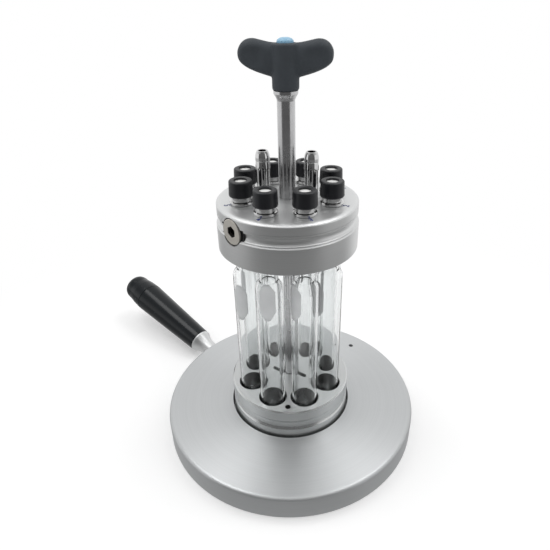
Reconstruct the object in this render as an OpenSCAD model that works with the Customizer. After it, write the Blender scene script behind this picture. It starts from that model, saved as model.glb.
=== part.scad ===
// Parallel reaction station: eight glass tubes between a heated block and a water-cooled head.
// Millimetres, +Z up. The origin is the centre of the base plate's underside.

/* [Base plate] */
// Diameter of the base plate
base_d = 168.4; // [164:0.2:190]
// Height of the base plate
base_h = 16.3; // [15:0.1:24]
// Radius of the base plate's rounded upper edge
base_round = 2.2; // [0.5:0.1:2.6]
// Diameter of the recess underneath that fits over a hotplate
plate_recess_d = 136; // [120:0.5:138]
// Depth of the recess underneath
plate_recess_h = 2.8; // [1.5:0.1:4]
// Thickness left between the hotplate and the block
floor_h = 3.2; // [2:0.1:5]
// Gap all round between the block and its recess
recess_gap = 1.4; // [0.5:0.1:3]
// Diameter of the base plate's probe hole
base_probe_d = 3.3; // [2:0.1:6]
// Depth of the base plate's probe hole
base_probe_depth = 9; // [4:0.5:12]
// Distance from the rim to the probe hole's centre
base_probe_edge = 12.9; // [11:0.1:20]
// Angle of the probe hole round the base plate
base_probe_turn = 46.5; // [20:0.5:90]

/* [Heating block] */
// Diameter of the heating block
block_d = 78.2; // [76:0.1:90]
// Height of the heating block
block_h = 30.7; // [28:0.1:44]
// Bevel round the block's upper edge
block_bevel = 0.7; // [0.3:0.1:1.5]
// Pitch circle of the eight wells, tubes and ports
ring_d = 53; // [52.6:0.1:54]
// Turn of the eight places about the centre
ring_turn = -2.9; // [-10:0.1:10]
// Depth of a well
well_depth = 24; // [22:0.5:25]
// Gap all round between a tube and its well
well_gap = 1.08; // [0.6:0.02:1.2]
// Depth below the block's top of its concave groove's upper edge
groove_drop = 7.3; // [5:0.1:9]
// Height of the block's concave groove
groove_h = 7.5; // [5:0.1:8]
// Depth of the block's concave groove
groove_in = 1.4; // [0.6:0.1:1.6]
// Diameter of the block's probe hole
block_probe_d = 3.6; // [2:0.1:4]
// Depth of the block's probe hole
block_probe_depth = 20; // [8:0.5:26]
// Distance from the block's rim to the probe hole's centre
block_probe_edge = 5.2; // [4.4:0.1:5.6]
// Thickness of metal over the lock chamber
slot_roof = 6; // [4:0.1:8]
// Angle of the slot round the block
slot_turn = -23.5; // [-45:0.5:45]

/* [Tubes] */
// Outer diameter of a tube
tube_d = 16; // [14.5:0.1:16.2]
// Length of a tube over all
tube_len = 135; // [110:0.5:170]
// Wall of a tube
tube_wall = 1.2; // [0.8:0.1:1.6]
// Radius of a tube's round shoulder
shoulder_r = 6; // [3.5:0.1:6.5]
// Outer diameter of a tube's neck
neck_d = 11; // [10.6:0.1:11.4]
// Length of a tube's neck above the shoulder
neck_len = 23; // [20:0.5:30]
// Diameter over the rings of a tube's thread
thread_d = 13.4; // [12.4:0.1:13.6]
// Bore of every neck, passage and port
passage_d = 8.6; // [7.6:0.1:8.8]

/* [Head] */
// Diameter of the water jacket
jacket_d = 81; // [80:0.1:84]
// Height of the water jacket
jacket_h = 15.8; // [15.4:0.1:24]
// Bevel round the jacket's upper edge
jacket_bevel = 0.9; // [0.4:0.1:1.5]
// Depth that a tube's neck goes into the jacket, with its seal
socket_depth = 13.4; // [12:0.1:13.6]
// Thickness of the jacket's floor under the water
water_floor = 3.5; // [2:0.1:5]
// Width of the water channel
water_w = 6.6; // [4:0.1:6.8]
// Diameter of the gas manifold and the cover
manifold_d = 79.9; // [79.6:0.1:81]
// Height of the gas manifold
manifold_h = 6.3; // [6.2:0.1:10]
// Height of the narrow land under the manifold's concave groove
waist_z = 0.3; // [0.2:0.05:0.5]
// Height of the manifold's concave groove
waist_h = 5; // [3:0.1:5.2]
// Depth of the manifold's concave groove
waist_in = 1.3; // [0.6:0.1:1.4]
// Depth of the gas channel
gallery_depth = 4.3; // [2:0.1:4.5]
// Height of the cover
cover_h = 5.9; // [5:0.1:8]
// Width of the cover's rounded edge
cover_round_w = 3.3; // [1:0.1:3.6]
// Height of the cover's rounded edge
cover_round_h = 1.45; // [0.5:0.05:3]
// Width of an O-ring groove
ring_groove_w = 1.6; // [1.2:0.1:1.6]
// Depth of an O-ring groove
ring_groove_h = 1.2; // [0.8:0.1:1.2]
// Pitch circle radius of the screws that hold the head together
screw_ring_r = 35.2; // [35.1:0.1:35.6]
// Thread diameter of those screws
screw_d = 3; // [2.5:0.1:3]

/* [Ports and caps] */
// Height of a port's neck above the cover
port_h = 10.3; // [9:0.1:14]
// Outer diameter of a port's neck
port_d = 10.6; // [10.2:0.1:10.8]
// Diameter of a port's flange
flange_d = 13; // [12:0.1:13.6]
// Height of a port's flange
flange_h = 2.1; // [1.5:0.1:3]
// Diameter of a cap at its foot
cap_d = 13.3; // [13:0.1:14.4]
// How much narrower a cap is at its top
cap_taper = 0.6; // [0:0.1:1.2]
// Height of a cap
cap_h = 8.7; // [7:0.05:9]
// Thickness of a cap's top
cap_top_h = 1.2; // [0.8:0.1:2]
// Diameter of the hole in a cap's top
cap_hole_d = 7.2; // [5:0.1:8]
// Thickness of a septum
septum_h = 1.6; // [1:0.1:2.5]

/* [Hose tails] */
// Distance of a hose tail from the centre
hose_r = 13.3; // [12.9:0.1:13.4]
// Turn of the pair of hose tails about the centre
hose_turn = -7.5; // [-20:0.5:20]
// Bore of a hose tail
hose_bore_d = 4.4; // [3:0.1:5]
// Diameter of a hose tail's shank in the head
hose_shank_d = 5.9; // [5.8:0.1:6]
// Diameter of a hose tail's stem
hose_stem_d = 7.4; // [6.6:0.1:7.6]
// Diameter over a hose tail's barbs
hose_barb_d = 8; // [7.8:0.1:9]
// Height of a hose tail above the cover
hose_h = 25.8; // [22:0.1:40]
// Width across the flats of a hose tail's hexagon
hose_hex = 9; // [8:0.5:10]
// Height of a hose tail's hexagon
hose_hex_h = 4; // [3:0.5:6]

/* [Gas plug] */
// Diameter of the gas plug's head
plug_d = 14.2; // [12:0.1:15]
// Thickness of the gas plug's head
plug_h = 1.25; // [1:0.05:2.5]
// Thread diameter of the gas plug
plug_thread_d = 4.9; // [4:0.1:5]
// Length of the gas plug's thread
plug_thread_len = 3.7; // [3:0.1:4]
// Width across the flats of the plug's hexagon socket
plug_hex = 4; // [2.5:0.5:5]
// How far the plug's seat stands back from the head's side
plug_seat_in = 1.95; // [1.5:0.05:2]
// Thickness of the plug's seal
plug_seal_h = 0.95; // [0.6:0.05:1.5]
// Diameter of the plug's seal
plug_seal_d = 14.8; // [12.5:0.1:15]
// Diameter of the seal's foot, which is cut off level with the manifold
seal_foot_d = 18.2; // [16:0.1:19]
// Thickness of the seal's foot
seal_foot_h = 0.4; // [0.3:0.05:0.6]

/* [Lifting shaft] */
// Diameter of the shaft above the head
shaft_d = 9.4; // [8.8:0.1:10.4]
// Diameter of the shaft below the head
shaft_low_d = 7; // [6:0.1:7.2]
// Height of the shaft's collar face above the head
shaft_h = 56.7; // [40:0.5:90]
// Diameter of the collar under the handle
collar_d = 12.7; // [12:0.1:13.4]
// Height of the collar and its flare
collar_h = 4.9; // [4:0.1:8]
// How far the shaft's tip goes below the block's top
shaft_reach = 16; // [13:0.5:22]
// Diameter of the cross pin
pin_d = 2.5; // [2:0.1:3]
// Length of the cross pin
pin_len = 21.8; // [16:0.1:22]

/* [T handle] */
// Width of the T handle over its two lobes
tee_w = 47.5; // [40:0.5:60]
// Height of the T handle
tee_h = 23.7; // [22:0.1:30]
// Turn of the T handle about the shaft
tee_turn = -10.9; // [-45:0.1:45]
// Radius of a lobe
lobe_r = 7.1; // [6:0.1:8]
// Thickness of the T handle from front to back
tee_t = 11.6; // [9:0.1:14]
// Diameter of the T handle's hub
hub_d = 13.7; // [13.4:0.1:16]
// How far the hub's top lies below the tops of the lobes
saddle_drop = 1.95; // [1:0.05:4]
// Height of the arms' underside where they leave the hub
arm_up = 5.75; // [4:0.05:8]
// Diameter of the pale cap in the hub
tee_cap_d = 8.4; // [7:0.1:9]
// How far the pale cap stands out
tee_cap_up = 2.4; // [1.5:0.1:4]

/* [Base handle] */
// Angle of the handle round the base plate
handle_turn = 138; // [110:0.5:160]
// Rise of the handle above the level
handle_tilt = 11.7; // [5:0.1:14]
// Height of the handle's axis where it meets the plate
handle_z = 8.3; // [8.2:0.1:9]
// Depth of the flat that the handle sits on
handle_seat = 1.6; // [1.5:0.1:2.5]
// Length of the flared ferrule
ferrule_h = 18; // [14:0.5:24]
// Diameter of the ferrule at the plate
ferrule_d = 12.4; // [11:0.1:12.6]
// Length of the grip
grip_len = 69; // [50:0.5:90]
// Diameter of the grip next to the ferrule
grip_d = 18.4; // [17.8:0.1:21]
// Diameter of the grip next to its end cap
grip_end_d = 24.6; // [22:0.1:28]
// Length of the end cap
end_cap_h = 24.2; // [20:0.1:30]
// Diameter of the end cap where its tip begins to round off
end_cap_d = 22; // [20:0.1:24]
// Diameter of the spindle that carries the grip
spindle_d = 8; // [7:0.1:8.4]

/* [Fits] */
// Gap between faces and in threads that are screwed home
seat_gap = 0.05; // [0.02:0.01:0.1]
// Radial clearance of a turning fit
run_gap = 0.05; // [0.02:0.01:0.08]
// Clearance of what passes without touching
free_gap = 0.35; // [0.3:0.01:0.4]

/* [Hidden] */
$fn = 72;
places = 8;
ring_r = ring_d / 2;
passage_r = passage_d / 2;
block_z = plate_recess_h + floor_h + seat_gap;
recess_z = plate_recess_h + floor_h;
block_top = block_z + block_h;
well_z = block_top - well_depth;
tube_z = well_z + free_gap;
mouth_z = tube_z + tube_len;
socket_r = thread_d / 2 + 0.3;
tube_seal_h = 1.2;
jacket_z = mouth_z + tube_seal_h + 2 * seat_gap - socket_depth;
manifold_z = jacket_z + jacket_h;
cover_z = manifold_z + manifold_h;
head_top = cover_z + cover_h;
gas_z = manifold_z + manifold_h / 2 + 0.1;
bush_r = shaft_d / 2 - 0.1;
seal_rings = [bush_r + 2.6, ring_r - 8.6, ring_r + 5.9];
water_out_r = seal_rings[1] - ring_groove_w / 2 - 0.4;
water_in_r = water_out_r - water_w;
gallery_in_r = seal_rings[1] + ring_groove_w / 2 + 1;
gallery_out_r = ring_r - passage_r + 1.4;
plug_turn = ring_turn - 135;
plug_face = manifold_d / 2 - plug_seat_in;
gas_hole_d = 3.2;
pin_z = block_top - slot_roof - pin_d / 2 - 1;
slot_w = pin_d + 2 * free_gap;
slot_len = pin_len + 2.4;
chamber_r = slot_len / 2 + 0.2;
shaft_top = head_top + shaft_h;
insert_h = 15;
insert_r = spindle_d / 2 + 1.6;
tee_z = shaft_top + seat_gap;
cap_foot = port_h + septum_h + 2 * seat_gap + cap_top_h - cap_h;
spindle_len = ferrule_h + grip_len - 8;
spindle_seat = 13;
grip_z = ferrule_h + free_gap;
grip_pocket_r = 6.9;
grip_pocket_h = 8.85;
end_cap_z = grip_z + grip_len;

function numbered(name) = [for (n = [1 : places]) str(name, n)];
function place_turn(n) = 22.5 + ring_turn - 45 * (n - 1);
function arc(cx, cz, r, from, to, steps = 6) =
    [for (i = [0 : steps]) let (a = from + (to - from) * i / steps) [cx + r * cos(a), cz + r * sin(a)]];
function ellipse_edge(r, z, w, h, steps = 6) =
    [for (i = [0 : steps]) let (a = 90 * i / steps) [r - w + w * cos(a), z - h + h * sin(a)]];
// The arc of a groove in a face of radius r, from its lower edge up
function hollow(r, z, h, depth) =
    let (bend = (h * h / 4 + depth * depth) / (2 * depth), half = asin(h / 2 / bend))
    arc(r - depth + bend, z + h / 2, bend, 180 + half, 180 - half, 8);

module turned(points) {
    rotate_extrude() polygon(points);
}

module ring(outer, inner, h) {
    difference() {
        cylinder(r = outer, h = h);
        translate([0, 0, -1]) cylinder(r = inner, h = h + 2);
    }
}

module at_place(n) {
    rotate(place_turn(n)) translate([ring_r, 0, 0]) children();
}

module at_each_place() {
    for (n = [1 : places]) at_place(n) children();
}

// Local Z runs out of the head through the gas plug's axis
module along_plug() {
    rotate(plug_turn) translate([plug_face, 0, gas_z]) rotate([0, 90, 0]) children();
}

// Local Z runs out along the base handle, from the flat that it sits on
module along_handle() {
    rotate(handle_turn)
        translate([base_d / 2 - handle_seat, 0, handle_z])
            rotate([0, 90 - handle_tilt, 0]) children();
}

module at_screws() {
    for (k = [0 : 3]) rotate(ring_turn + 90 * k) translate([screw_ring_r, 0, 0]) children();
}

// The flat that the plug's seal needs, cut across the jacket, the manifold and the cover
module plug_flat(d) {
    along_plug() cylinder(r = d / 2 + free_gap, h = 10);
}

module base_plate() {
    r = base_d / 2;
    color("#bcbec0") difference() {
        turned(concat(
            [[0, 0], [r - 0.5, 0], [r, 0.5]],
            ellipse_edge(r, base_h, base_round, base_round),
            [[0, base_h]]
        ));
        translate([0, 0, -1]) cylinder(d = plate_recess_d, h = plate_recess_h + 1);
        translate([0, 0, recess_z]) cylinder(d = block_d + 2 * recess_gap, h = base_h);
        rotate(base_probe_turn) translate([r - base_probe_edge, 0, base_h - base_probe_depth])
            cylinder(d = base_probe_d, h = base_h);
        along_handle() cylinder(d = ferrule_d + 1, h = 20);
        along_handle() translate([0, 0, -spindle_seat - 1]) cylinder(d = spindle_d, h = spindle_seat + 2);
    }
}

module handle_spindle() {
    f = ferrule_d / 2;
    g = grip_d / 2;
    journal = spindle_d / 2;
    flare = [for (i = [0 : 8]) let (s = i / 8) [f - 0.3 + (g - f + 0.3) * pow(s, 2.2), 6 + (ferrule_h - 7) * s]];
    low = -spindle_seat;
    color("#d8d8d8") along_handle() difference() {
        turned(concat(
            [[0, low], [journal - 0.6, low], [journal - seat_gap, low + 0.6], [journal - seat_gap, seat_gap]],
            [[f, seat_gap], [f, 1.5], [f - 0.3, 4]],
            flare,
            [[g, ferrule_h], [journal, ferrule_h], [journal, spindle_len], [0, spindle_len]]
        ));
        translate([0, 0, spindle_len - 12]) cylinder(r = 2 + seat_gap, h = 13);
    }
}

module handle_grip() {
    bottom = grip_d / 2;
    top = grip_end_d / 2;
    color("#292a2c") along_handle() translate([0, 0, grip_z]) difference() {
        turned([
            [0, 0], [bottom - 0.4, 0], [bottom, 0.4],
            [top, grip_len - 0.3], [top - 0.3, grip_len], [0, grip_len]
        ]);
        translate([0, 0, -1]) cylinder(r = spindle_d / 2 + run_gap, h = grip_len + 2);
        translate([0, 0, grip_len - grip_pocket_h]) cylinder(r = grip_pocket_r, h = grip_pocket_h + 1);
    }
}

module handle_end_cap() {
    top = grip_end_d / 2;
    plug_r = grip_pocket_r - seat_gap;
    plug_low = -2.8;
    round_h = 9.8;
    // The tip's outline is a superellipse, which is fuller than a circle's arc
    blunt = 3.4;
    color("#292a2c") along_handle() translate([0, 0, end_cap_z + seat_gap]) difference() {
        turned(concat(
            [[0, plug_low], [plug_r, plug_low], [plug_r, 0], [top - 0.3, 0], [top, 0.3]],
            [[top - 0.1, 3], [top - 0.5, 9]],
            [for (i = [0 : 11]) let (a = 7.5 * i) [
                end_cap_d / 2 * pow(cos(a), 2 / blunt),
                end_cap_h - round_h + round_h * pow(sin(a), 2 / blunt)
            ]],
            [[0, end_cap_h]]
        ));
        translate([0, 0, plug_low - 1]) cylinder(r = plug_r - 1.6, h = 6);
    }
}

module grip_washer() {
    color("#c8c8c8") along_handle() translate([0, 0, spindle_len + seat_gap]) ring(6.4, 2.2, 1);
}

module grip_screw() {
    color("#b0b0b0") along_handle() translate([0, 0, spindle_len + 1 + 2 * seat_gap]) difference() {
        turned([[0, -11], [2, -11], [2, 0], [3.5, 0], [3.5, 2.4], [3.1, 2.8], [0, 2.8]]);
        translate([0, 0, 1]) cylinder(d = 2.9, h = 3, $fn = 6);
    }
}

module heating_block() {
    r = block_d / 2;
    color("#8f9392") difference() {
        turned(concat(
            [[0, block_z], [r, block_z]],
            hollow(r, block_top - groove_drop - groove_h, groove_h, groove_in),
            [[r, block_top - block_bevel], [r - block_bevel, block_top], [0, block_top]]
        ));
        block_cuts(tube_d / 2 + well_gap);
    }
}

// Wells, probe hole, keyhole slot and the chamber in which the cross pin turns
module block_cuts(well_r) {
    at_each_place() {
        translate([0, 0, well_z + well_r]) cylinder(r = well_r, h = block_h);
        translate([0, 0, well_z + well_r]) sphere(r = well_r);
    }
    rotate(ring_turn - 90) translate([block_d / 2 - block_probe_edge, 0, block_top - block_probe_depth])
        cylinder(d = block_probe_d, h = block_h);
    cylinder(r = chamber_r, h = block_top - slot_roof);
    cylinder(r = shaft_low_d / 2 + free_gap, h = block_top + 1);
    rotate(slot_turn) keyhole_slot();
}

module keyhole_slot() {
    reach = (slot_len - slot_w) / 2;
    translate([-reach, -slot_w / 2, block_top - slot_roof - 1]) cube([2 * reach, slot_w, slot_roof + 2]);
    for (x = [-reach, reach]) translate([x, 0, block_top - slot_roof - 1]) cylinder(d = slot_w, h = slot_roof + 2);
}

module tube(n) {
    r = tube_d / 2;
    inner = r - tube_wall;
    neck = neck_d / 2;
    thread = thread_d / 2;
    body_top = tube_len - neck_len - shoulder_r;
    bend = acos((neck - r + shoulder_r) / shoulder_r);
    inner_bend = acos((passage_r - inner + shoulder_r) / shoulder_r);
    ring_z = [for (k = [0 : 2]) tube_len - 10 + 3 * k];
    color([0.80, 0.84, 0.84, 0.5]) at_place(n) translate([0, 0, tube_z]) difference() {
        turned(concat(
            arc(0, r, r, -90, 0, 10),
            arc(r - shoulder_r, body_top, shoulder_r, 0, bend, 8),
            [for (z = ring_z) each [[neck, z - 1], [thread, z - 0.4], [thread, z + 0.4], [neck, z + 1]]],
            [[neck, tube_len - 0.4], [neck - 0.3, tube_len], [0, tube_len]]
        ));
        turned(concat(
            arc(0, r, inner, -90, 0, 10),
            arc(inner - shoulder_r, body_top - 0.4, shoulder_r, 0, inner_bend, 8),
            [[passage_r, tube_len + 1], [0, tube_len + 1]]
        ));
    }
}

module head_jacket() {
    r = jacket_d / 2;
    color("#8a8d8e") difference() {
        translate([0, 0, jacket_z]) turned([
            [0, 0], [r - 0.4, 0], [r, 0.4], [r, jacket_h - jacket_bevel], [r - jacket_bevel, jacket_h], [0, jacket_h]
        ]);
        translate([0, 0, jacket_z - 1]) cylinder(r = bush_r + seat_gap, h = jacket_h + 2);
        at_each_place() {
            translate([0, 0, jacket_z - 1]) cylinder(r = socket_r, h = socket_depth + 1);
            translate([0, 0, jacket_z]) cylinder(r = passage_r, h = jacket_h + 1);
        }
        translate([0, 0, jacket_z + water_floor]) ring(water_out_r, water_in_r, jacket_h);
        seal_grooves(manifold_z);
        screw_holes();
        plug_flat(plug_seal_d);
    }
}

module gas_manifold() {
    r = manifold_d / 2;
    color("#9a9c9d") difference() {
        turned(concat(
            [[0, manifold_z], [r, manifold_z]],
            hollow(r, manifold_z + waist_z, waist_h, waist_in),
            [[r, cover_z], [0, cover_z]]
        ));
        translate([0, 0, manifold_z - 1]) cylinder(r = bush_r + seat_gap, h = manifold_h + 2);
        at_each_place() translate([0, 0, manifold_z - 1]) cylinder(r = passage_r, h = manifold_h + 2);
        translate([0, 0, cover_z - gallery_depth]) ring(gallery_out_r, gallery_in_r, gallery_depth + 1);
        seal_grooves(cover_z);
        hose_holes(manifold_z - 1, manifold_h + 2);
        screw_holes();
        plug_flat(seal_foot_d);
        along_plug() translate([0, 0, -plug_thread_len - 0.5])
            cylinder(d = plug_thread_d + 2 * seat_gap, h = plug_thread_len + 2);
        along_plug() translate([0, 0, gallery_out_r - plug_face - 1])
            cylinder(d = gas_hole_d, h = plug_face - gallery_out_r);
    }
}

module head_cover() {
    r = manifold_d / 2;
    color("#c4c5c6") difference() {
        turned(concat(
            [[0, cover_z], [r - 0.2, cover_z], [r, cover_z + 0.2]],
            ellipse_edge(r, head_top, cover_round_w, cover_round_h),
            [[0, head_top]]
        ));
        translate([0, 0, cover_z - 1]) cylinder(r = bush_r + seat_gap, h = cover_h + 2);
        at_each_place() translate([0, 0, cover_z - 1]) cylinder(r = port_d / 2 + seat_gap, h = cover_h + 2);
        hose_holes(cover_z - 1, cover_h + 2);
        at_screws() translate([0, 0, cover_z - 1]) cylinder(d = screw_d + 2 * seat_gap, h = 4.5);
        plug_flat(plug_seal_d);
    }
}

module seal_grooves(z) {
    for (r = seal_rings) translate([0, 0, z - ring_groove_h])
        ring(r + ring_groove_w / 2, r - ring_groove_w / 2, ring_groove_h + 1);
}

module hose_holes(z, h) {
    for (half = [0, 180])
        rotate(hose_turn + half) translate([hose_r, 0, z]) cylinder(d = hose_shank_d + 2 * seat_gap, h = h);
}

module screw_holes() {
    at_screws() translate([0, 0, jacket_z - 1]) cylinder(d = screw_d + 0.4, h = cover_z - jacket_z + 2);
    at_screws() translate([0, 0, jacket_z - 1]) cylinder(d = 2 * screw_d, h = screw_d + 1.4);
}

module head_screws() {
    head_r = screw_d - 0.25;
    color("#b5b5b5") at_screws() translate([0, 0, jacket_z + 0.4 - seat_gap]) difference() {
        turned([
            [0, 0], [head_r - 0.3, 0], [head_r, 0.3], [head_r, screw_d], [screw_d / 2, screw_d],
            [screw_d / 2, cover_z + 3 - jacket_z], [0, cover_z + 3 - jacket_z]
        ]);
        translate([0, 0, -1]) cylinder(d = screw_d - 0.1, h = 2.5, $fn = 6);
    }
}

// A set of O-rings as they lie once the joint is closed
module pressed_rings(z) {
    w = ring_groove_w / 2 - seat_gap;
    low = z - ring_groove_h + seat_gap;
    high = z - seat_gap;
    b = 0.3;
    for (r = seal_rings) turned([
        [r - w + b, low], [r + w - b, low], [r + w, low + b], [r + w, high - b],
        [r + w - b, high], [r - w + b, high], [r - w, high - b], [r - w, low + b]
    ]);
}

module jacket_seals() {
    color("#1c1c1c") pressed_rings(manifold_z);
}

module manifold_seals() {
    color("#1c1c1c") pressed_rings(cover_z);
}

module tube_seals() {
    color("#f2f2ee") at_each_place() translate([0, 0, mouth_z + seat_gap])
        ring(neck_d / 2 + 0.4, passage_r, tube_seal_h);
}

module shaft_bush() {
    color("#e8e4d8") translate([0, 0, jacket_z]) ring(bush_r, shaft_low_d / 2 + run_gap, head_top - jacket_z);
}

module port(n) {
    bore_z = cover_z - head_top;
    color("#c9cacb") at_place(n) translate([0, 0, head_top]) difference() {
        turned([
            [0, bore_z + seat_gap], [port_d / 2, bore_z + seat_gap], [port_d / 2, seat_gap],
            [flange_d / 2 - 0.4, seat_gap], [flange_d / 2, 0.5], [flange_d / 2, flange_h - 0.8],
            [flange_d / 2 - 0.3, flange_h - 0.3], [flange_d / 2 - 0.9, flange_h], [port_d / 2, flange_h],
            [port_d / 2, port_h - 0.3], [port_d / 2 - 0.3, port_h], [0, port_h]
        ]);
        translate([0, 0, bore_z - 1]) cylinder(r = passage_r, h = cover_h + port_h + 2);
    }
}

module septum(n) {
    color("#f8f8f6") at_place(n) translate([0, 0, head_top + port_h + seat_gap])
        cylinder(r = port_d / 2 - 0.05, h = septum_h);
}

module cap(n) {
    foot = cap_d / 2;
    top = foot - cap_taper / 2;
    inner = port_d / 2 + free_gap;
    color("#1e1f20") at_place(n) translate([0, 0, head_top + cap_foot]) difference() {
        turned(concat(
            [[0, 0], [foot - 0.7, 0], [foot - 0.2, 0.2], [foot, 0.7]],
            arc(top - 0.8, cap_h - 0.8, 0.8, 0, 90, 4),
            [[0, cap_h]]
        ));
        translate([0, 0, -1]) cylinder(r = inner, h = cap_h - cap_top_h + 1);
        cylinder(d = cap_hole_d, h = cap_h + 1);
    }
}

module hose_tail(half) {
    barb = hose_barb_d / 2;
    stem = hose_stem_d / 2;
    low = manifold_z - head_top + 0.5;
    color("#a9a9a7") rotate(hose_turn + half) translate([hose_r, 0, head_top]) difference() {
        union() {
            turned([
                [0, low], [hose_shank_d / 2, low], [hose_shank_d / 2, seat_gap + 1], [stem, hose_hex_h - 0.5],
                [stem, hose_h - 10], [barb, hose_h - 9.8], [barb, hose_h - 9], [stem + 0.15, hose_h - 5.3],
                [barb, hose_h - 5.1], [barb, hose_h - 3.4], [barb - 0.15, hose_h - 2.2], [barb - 0.5, hose_h - 1],
                [barb - 1, hose_h], [0, hose_h]
            ]);
            translate([0, 0, seat_gap]) cylinder(d = hose_hex / cos(30), h = hose_hex_h, $fn = 6);
        }
        translate([0, 0, low - 1]) cylinder(d = hose_bore_d, h = hose_h - low + 2);
    }
}

module water_inlet() {
    hose_tail(180);
}

module water_outlet() {
    hose_tail(0);
}

// A ring under the plug's head on a wide thin foot, cut off where it would pass the manifold
module plug_seal() {
    hole_r = plug_thread_d / 2 + free_gap;
    above = cover_z - gas_z - seat_gap;
    below = gas_z - manifold_z - seat_gap;
    color("#191919") along_plug() translate([0, 0, seat_gap]) {
        ring(plug_seal_d / 2, hole_r, plug_seal_h);
        intersection() {
            ring(seal_foot_d / 2, hole_r, seal_foot_h);
            translate([-above, -seal_foot_d, -1]) cube([above + below, 2 * seal_foot_d, seal_foot_h + 2]);
        }
    }
}

module gas_plug() {
    disc = plug_d / 2;
    color("#b3b2ad") along_plug() translate([0, 0, plug_seal_h + 2 * seat_gap]) difference() {
        turned([
            [0, -plug_thread_len - plug_seal_h], [plug_thread_d / 2, -plug_thread_len - plug_seal_h],
            [plug_thread_d / 2, 0], [disc - 0.1, 0], [disc, 0.1], [disc, plug_h - 0.25],
            [disc - 0.25, plug_h], [0, plug_h]
        ]);
        translate([0, 0, plug_h - 3]) cylinder(d = plug_hex / cos(30), h = 4, $fn = 6);
    }
}

module lift_shaft() {
    low = shaft_low_d / 2;
    r = shaft_d / 2;
    c = collar_d / 2;
    tip = block_top - shaft_reach;
    clip_z = jacket_z - 0.15;
    stud = spindle_d / 2;
    color("#9fa0a0") difference() {
        turned([
            [0, tip], [low - 0.8, tip], [low, tip + 0.8], [low, clip_z - 0.9], [low - 0.6, clip_z - 0.9],
            [low - 0.6, clip_z], [low, clip_z], [low, head_top + seat_gap], [r, head_top + seat_gap],
            [r, shaft_top - collar_h], [r + 0.15, shaft_top - collar_h + 0.7], [r + 0.7, shaft_top - collar_h + 1.9],
            [c, shaft_top - 1.5], [c, shaft_top], [stud - seat_gap, shaft_top], [stud - seat_gap, tee_z + insert_h],
            [0, tee_z + insert_h]
        ]);
        rotate(slot_turn) translate([-shaft_d, 0, pin_z]) rotate([0, 90, 0])
            cylinder(r = pin_d / 2 + seat_gap / 2, h = 2 * shaft_d);
    }
}

module cross_pin() {
    color("#8e8e8e") rotate(slot_turn) translate([-pin_len / 2, 0, pin_z]) rotate([0, 90, 0])
        turned([
            [0, 0], [pin_d / 2 - 0.3, 0], [pin_d / 2, 0.3], [pin_d / 2, pin_len - 0.3], [pin_d / 2 - 0.3, pin_len],
            [0, pin_len]
        ]);
}

module shaft_circlip() {
    color("#707070") translate([0, 0, jacket_z - 0.15 - 0.85]) ring(6, shaft_low_d / 2 - 0.6 + seat_gap, 0.8);
}

module tee_handle() {
    lobe_x = tee_w / 2 - lobe_r;
    lobe_z = tee_h - lobe_r;
    hub = hub_d / 2;
    root_x = 0.79 * hub;
    root_y = 0.6 * hub;
    dish_r = 14;
    dish_depth = 0.9;
    saddle = tee_h - saddle_drop;
    flat = tee_t / (2 * lobe_r);
    color("#3a3d42") rotate(tee_turn) translate([0, 0, tee_z]) difference() {
        union() {
            turned([
                [0, 0], [hub - 1, 0], [hub - 0.3, 0.3], [hub, 1],
                [hub, saddle - 0.6], [hub - 0.6, saddle], [0, saddle]
            ]);
            for (side = [-1, 1]) hull() {
                translate([side * lobe_x, 0, lobe_z]) scale([1, flat, 1]) sphere(r = lobe_r, $fn = 32);
                translate([side * root_x, 0, arm_up]) scale([0.12, 1, 1])
                    cylinder(r = root_y, h = saddle - arm_up, $fn = 16);
            }
        }
        for (side = [-1, 1], face = [-1, 1])
            translate([side * lobe_x, face * (tee_t / 2 + dish_r - dish_depth), lobe_z]) sphere(r = dish_r);
        translate([0, 0, -1]) cylinder(r = insert_r + seat_gap, h = insert_h + 2);
        translate([0, 0, insert_h]) cylinder(d = tee_cap_d + 2 * seat_gap, h = tee_h);
    }
}

module tee_insert() {
    color("#a5a5a5") translate([0, 0, tee_z + seat_gap]) ring(insert_r, spindle_d / 2, insert_h - 0.4);
}

module tee_cap() {
    r = tee_cap_d / 2;
    foot = tee_z + insert_h + 1.2;
    rim = tee_z + tee_h - saddle_drop;
    top = rim + tee_cap_up;
    ribs = 16;
    color("#7fb0cf") difference() {
        turned(concat(
            [[0, foot], [r, foot], [r, rim + 0.3]],
            ellipse_edge(r, top, r - 0.8, tee_cap_up - 0.4),
            [[0, top]]
        ));
        for (k = [0 : ribs - 1]) rotate(360 * k / ribs)
            translate([r + 0.12, 0, rim + 0.2]) cylinder(r = 0.35, h = tee_cap_up);
    }
}

base_plate();
handle_spindle();
handle_grip();
handle_end_cap();
grip_washer();
grip_screw();
heating_block();
head_jacket();
gas_manifold();
head_cover();
head_screws();
jacket_seals();
manifold_seals();
tube_seals();
shaft_bush();
water_inlet();
water_outlet();
gas_plug();
plug_seal();
lift_shaft();
cross_pin();
shaft_circlip();
tee_handle();
tee_insert();
tee_cap();
for (n = [1 : places]) {
    tube(n);
    port(n);
    septum(n);
    cap(n);
}
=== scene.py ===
"""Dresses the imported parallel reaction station: studio, metal, glass and plastic finishes, port
numbers, marking patches on the tubes, the gas plug's wide socket and the moulded T handle."""

import math

import bpy
import numpy as np
from bpy.props import FloatProperty, FloatVectorProperty, PointerProperty
from mathutils import Matrix, Vector


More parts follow.
